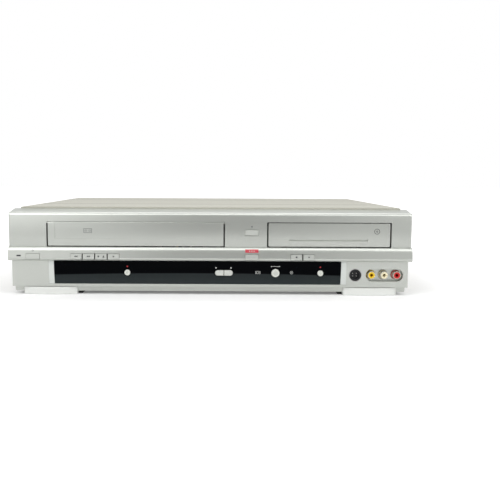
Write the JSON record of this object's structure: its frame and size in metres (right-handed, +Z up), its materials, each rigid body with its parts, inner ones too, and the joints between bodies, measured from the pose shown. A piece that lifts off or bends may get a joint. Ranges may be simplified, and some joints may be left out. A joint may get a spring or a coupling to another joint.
{
  "type": "dvd vcr combo player",
  "caption": "Full-width silver disc and video tape deck with a sprung cassette door, a motor-driven disc tray, a dark display window and front sockets.",
  "frame": {"origin": "middle of the box round the deck, on the surface that its feet stand on", "axes": "+X to the right of someone facing the deck, -Y out of its front, +Z up"},
  "size_m": [0.435, 0.3605, 0.094],
  "materials": {
    "cover_paint": "fine textured grey-beige enamel",
    "plated_steel": "zinc-plated sheet",
    "silver_plastic": "silver paint on moulded plastic",
    "window_tint": "near-black tinted window",
    "bright_trim": "bright silver moulding",
    "rubber": "black rubber",
    "screw_steel": "bright steel",
    "lamp_lens": "dark red lens",
    "key_plastic": "silver moulded key",
    "window_key": "grey moulded key",
    "black_plastic": "black moulding",
    "yellow_plastic": "yellow moulding",
    "white_plastic": "white moulding",
    "red_plastic": "red moulding",
    "machined_aluminium": "turned aluminium",
    "brass_wheel": "turned brass",
    "motor_steel": "drawn can",
    "circuit_board": "green lacquered board"
  },
  "bodies": {
    "root": {"top_cover": "cover_paint", "base_chassis": "plated_steel", "rear_panel": "plated_steel", "front_bezel": "silver_plastic", "display_window": "window_tint", "window_strips": "bright_trim", "front_feet": "bright_trim", "rear_feet": "rubber", "cover_screws": "screw_steel", "standby_lamp": "lamp_lens", "s_video_socket": "black_plastic", "yellow_phono_jack": "yellow_plastic", "white_phono_jack": "white_plastic", "red_phono_jack": "red_plastic", "carriage_frame": "plated_steel", "deck_plate": "plated_steel", "lower_drum": "machined_aluminium", "tape_heads": "screw_steel", "dc_motors": "motor_steel", "drive_frame": "black_plastic", "tray_belt": "rubber", "clamp_bridge": "plated_steel", "main_board": "circuit_board", "power_board": "circuit_board", "front_board": "circuit_board", "tuner_module": "plated_steel", "scart_sockets": "black_plastic", "rear_phono_jacks": "black_plastic", "mains_inlet": "black_plastic"},
    "standby": {"standby_button": "key_plastic"},
    "rewind": {"rewind_button": "key_plastic"},
    "fast_forward": {"fast_forward_button": "key_plastic"},
    "stop_eject": {"stop_eject_button": "key_plastic"},
    "play": {"play_button": "key_plastic"},
    "dubbing": {"dubbing_button": "key_plastic"},
    "disc_stop": {"disc_stop_button": "key_plastic"},
    "disc_play": {"disc_play_button": "key_plastic"},
    "open_close": {"open_close_button": "key_plastic"},
    "tape_record": {"tape_record_button": "window_key"},
    "disc_record": {"disc_record_button": "window_key"},
    "output_select": {"output_select_button": "window_key"},
    "program_down": {"program_down_button": "window_key"},
    "program_up": {"program_up_button": "window_key"},
    "cassette_flap": {"cassette_door": "silver_plastic"},
    "cassette_holder": {"cassette_holder": "plated_steel"},
    "video_drum": {"upper_drum": "machined_aluminium"},
    "capstan": {"capstan": "brass_wheel"},
    "supply_reel": {"supply_reel": "white_plastic"},
    "takeup_reel": {"takeup_reel": "white_plastic"},
    "pinch_arm": {"pinch_arm": "plated_steel"},
    "pinch_roller": {"pinch_roller": "rubber"},
    "supply_post": {"supply_post": "white_plastic"},
    "takeup_post": {"takeup_post": "white_plastic"},
    "disc_tray": {"disc_tray": "black_plastic", "tray_front": "silver_plastic"},
    "tray_gear": {"tray_gear": "white_plastic"},
    "traverse": {"pickup_chassis": "plated_steel"},
    "turntable": {"turntable": "black_plastic"},
    "pickup": {"pickup_sled": "black_plastic"},
    "clamper": {"disc_clamper": "white_plastic"}
  },
  "joints": [
    {"name": "standby_press", "type": "slide", "parent": "root", "child": "standby", "axis": [0, 1, 0], "range_m": [0, 0.0008], "stiffness_N_per_m": 600},
    {"name": "rewind_press", "type": "slide", "parent": "root", "child": "rewind", "axis": [0, 1, 0], "range_m": [0, 0.0008], "stiffness_N_per_m": 600},
    {"name": "fast_forward_press", "type": "slide", "parent": "root", "child": "fast_forward", "axis": [0, 1, 0], "range_m": [0, 0.0008], "stiffness_N_per_m": 600},
    {"name": "stop_eject_press", "type": "slide", "parent": "root", "child": "stop_eject", "axis": [0, 1, 0], "range_m": [0, 0.0008], "stiffness_N_per_m": 600},
    {"name": "play_press", "type": "slide", "parent": "root", "child": "play", "axis": [0, 1, 0], "range_m": [0, 0.0008], "stiffness_N_per_m": 600},
    {"name": "dubbing_press", "type": "slide", "parent": "root", "child": "dubbing", "axis": [0, 1, 0], "range_m": [0, 0.0008], "stiffness_N_per_m": 600},
    {"name": "disc_stop_press", "type": "slide", "parent": "root", "child": "disc_stop", "axis": [0, 1, 0], "range_m": [0, 0.0008], "stiffness_N_per_m": 600},
    {"name": "disc_play_press", "type": "slide", "parent": "root", "child": "disc_play", "axis": [0, 1, 0], "range_m": [0, 0.0008], "stiffness_N_per_m": 600},
    {"name": "open_close_press", "type": "slide", "parent": "root", "child": "open_close", "axis": [0, 1, 0], "range_m": [0, 0.0008], "stiffness_N_per_m": 600},
    {"name": "tape_record_press", "type": "slide", "parent": "root", "child": "tape_record", "axis": [0, 1, 0], "range_m": [0, 0.0008], "stiffness_N_per_m": 600},
    {"name": "disc_record_press", "type": "slide", "parent": "root", "child": "disc_record", "axis": [0, 1, 0], "range_m": [0, 0.0008], "stiffness_N_per_m": 600},
    {"name": "output_select_press", "type": "slide", "parent": "root", "child": "output_select", "axis": [0, 1, 0], "range_m": [0, 0.0008], "stiffness_N_per_m": 600},
    {"name": "program_down_press", "type": "slide", "parent": "root", "child": "program_down", "axis": [0, 1, 0], "range_m": [0, 0.0008], "stiffness_N_per_m": 600},
    {"name": "program_up_press", "type": "slide", "parent": "root", "child": "program_up", "axis": [0, 1, 0], "range_m": [0, 0.0008], "stiffness_N_per_m": 600},
    {"name": "cassette_flap_hinge", "type": "hinge", "parent": "root", "child": "cassette_flap", "pos_m": [-0.0803, -0.1751, 0.0779], "axis": [1, 0, 0], "range_deg": [0, 90], "stiffness_Nm_per_rad": 0.02, "springref_deg": -11.46},
    {"name": "holder_slide", "type": "slide", "parent": "root", "child": "cassette_holder", "axis": [0, 1, 0], "range_m": [0, 0.048]},
    {"name": "drum_spin", "type": "hinge", "parent": "root", "child": "video_drum", "pos_m": [-0.0803, -0.022, 0.0285], "axis": [0.0872, 0, 0.9962], "continuous": true},
    {"name": "capstan_spin", "type": "hinge", "parent": "root", "child": "capstan", "pos_m": [-0.042, -0.064, 0.03], "axis": [0, 0, 1], "continuous": true},
    {"name": "supply_reel_spin", "type": "hinge", "parent": "root", "child": "supply_reel", "pos_m": [-0.1263, -0.131, 0.035], "axis": [0, 0, 1], "continuous": true},
    {"name": "takeup_reel_spin", "type": "hinge", "parent": "root", "child": "takeup_reel", "pos_m": [-0.0343, -0.131, 0.035], "axis": [0, 0, 1], "continuous": true},
    {"name": "pinch_arm_hinge", "type": "hinge", "parent": "root", "child": "pinch_arm", "pos_m": [-0.014, -0.042, 0.035], "axis": [0, 0, -1], "range_deg": [0, 40]},
    {"name": "pinch_roller_spin", "type": "hinge", "parent": "pinch_arm", "child": "pinch_roller", "pos_m": [-0.01691, -0.06923, 0.038], "axis": [0, 0, 1], "continuous": true},
    {"name": "supply_post_swing", "type": "hinge", "parent": "root", "child": "supply_post", "pos_m": [-0.0803, -0.022, 0.03], "axis": [0, 0, 1], "range_deg": [-85, 0]},
    {"name": "takeup_post_swing", "type": "hinge", "parent": "root", "child": "takeup_post", "pos_m": [-0.0803, -0.022, 0.03], "axis": [0, 0, 1], "range_deg": [0, 85]},
    {"name": "tray_slide", "type": "slide", "parent": "root", "child": "disc_tray", "axis": [0, -1, 0], "range_m": [0, 0.14]},
    {"name": "tray_gear_spin", "type": "hinge", "parent": "root", "child": "tray_gear", "pos_m": [0.0795, -0.1415, 0.05], "axis": [0, 0, 1], "continuous": true},
    {"name": "traverse_lift", "type": "hinge", "parent": "root", "child": "traverse", "pos_m": [0.1281, -0.015, 0.04775], "axis": [-1, 0, 0], "range_deg": [0, 4.5]},
    {"name": "turntable_spin", "type": "hinge", "parent": "traverse", "child": "turntable", "pos_m": [0.1281, -0.11, 0.05], "axis": [0, 0, 1], "continuous": true},
    {"name": "pickup_slide", "type": "slide", "parent": "traverse", "child": "pickup", "axis": [0, 1, 0], "range_m": [0, 0.034]},
    {"name": "clamper_spin", "type": "hinge", "parent": "root", "child": "clamper", "pos_m": [0.1281, -0.11, 0.068], "axis": [0, 0, 1], "continuous": true}
  ],
  "couplings": [
    {"joint": "supply_post_swing", "follows": "takeup_post_swing", "ratio": -1},
    {"joint": "tray_gear_spin", "follows": "tray_slide", "rad_per_m": 125}
  ]
}
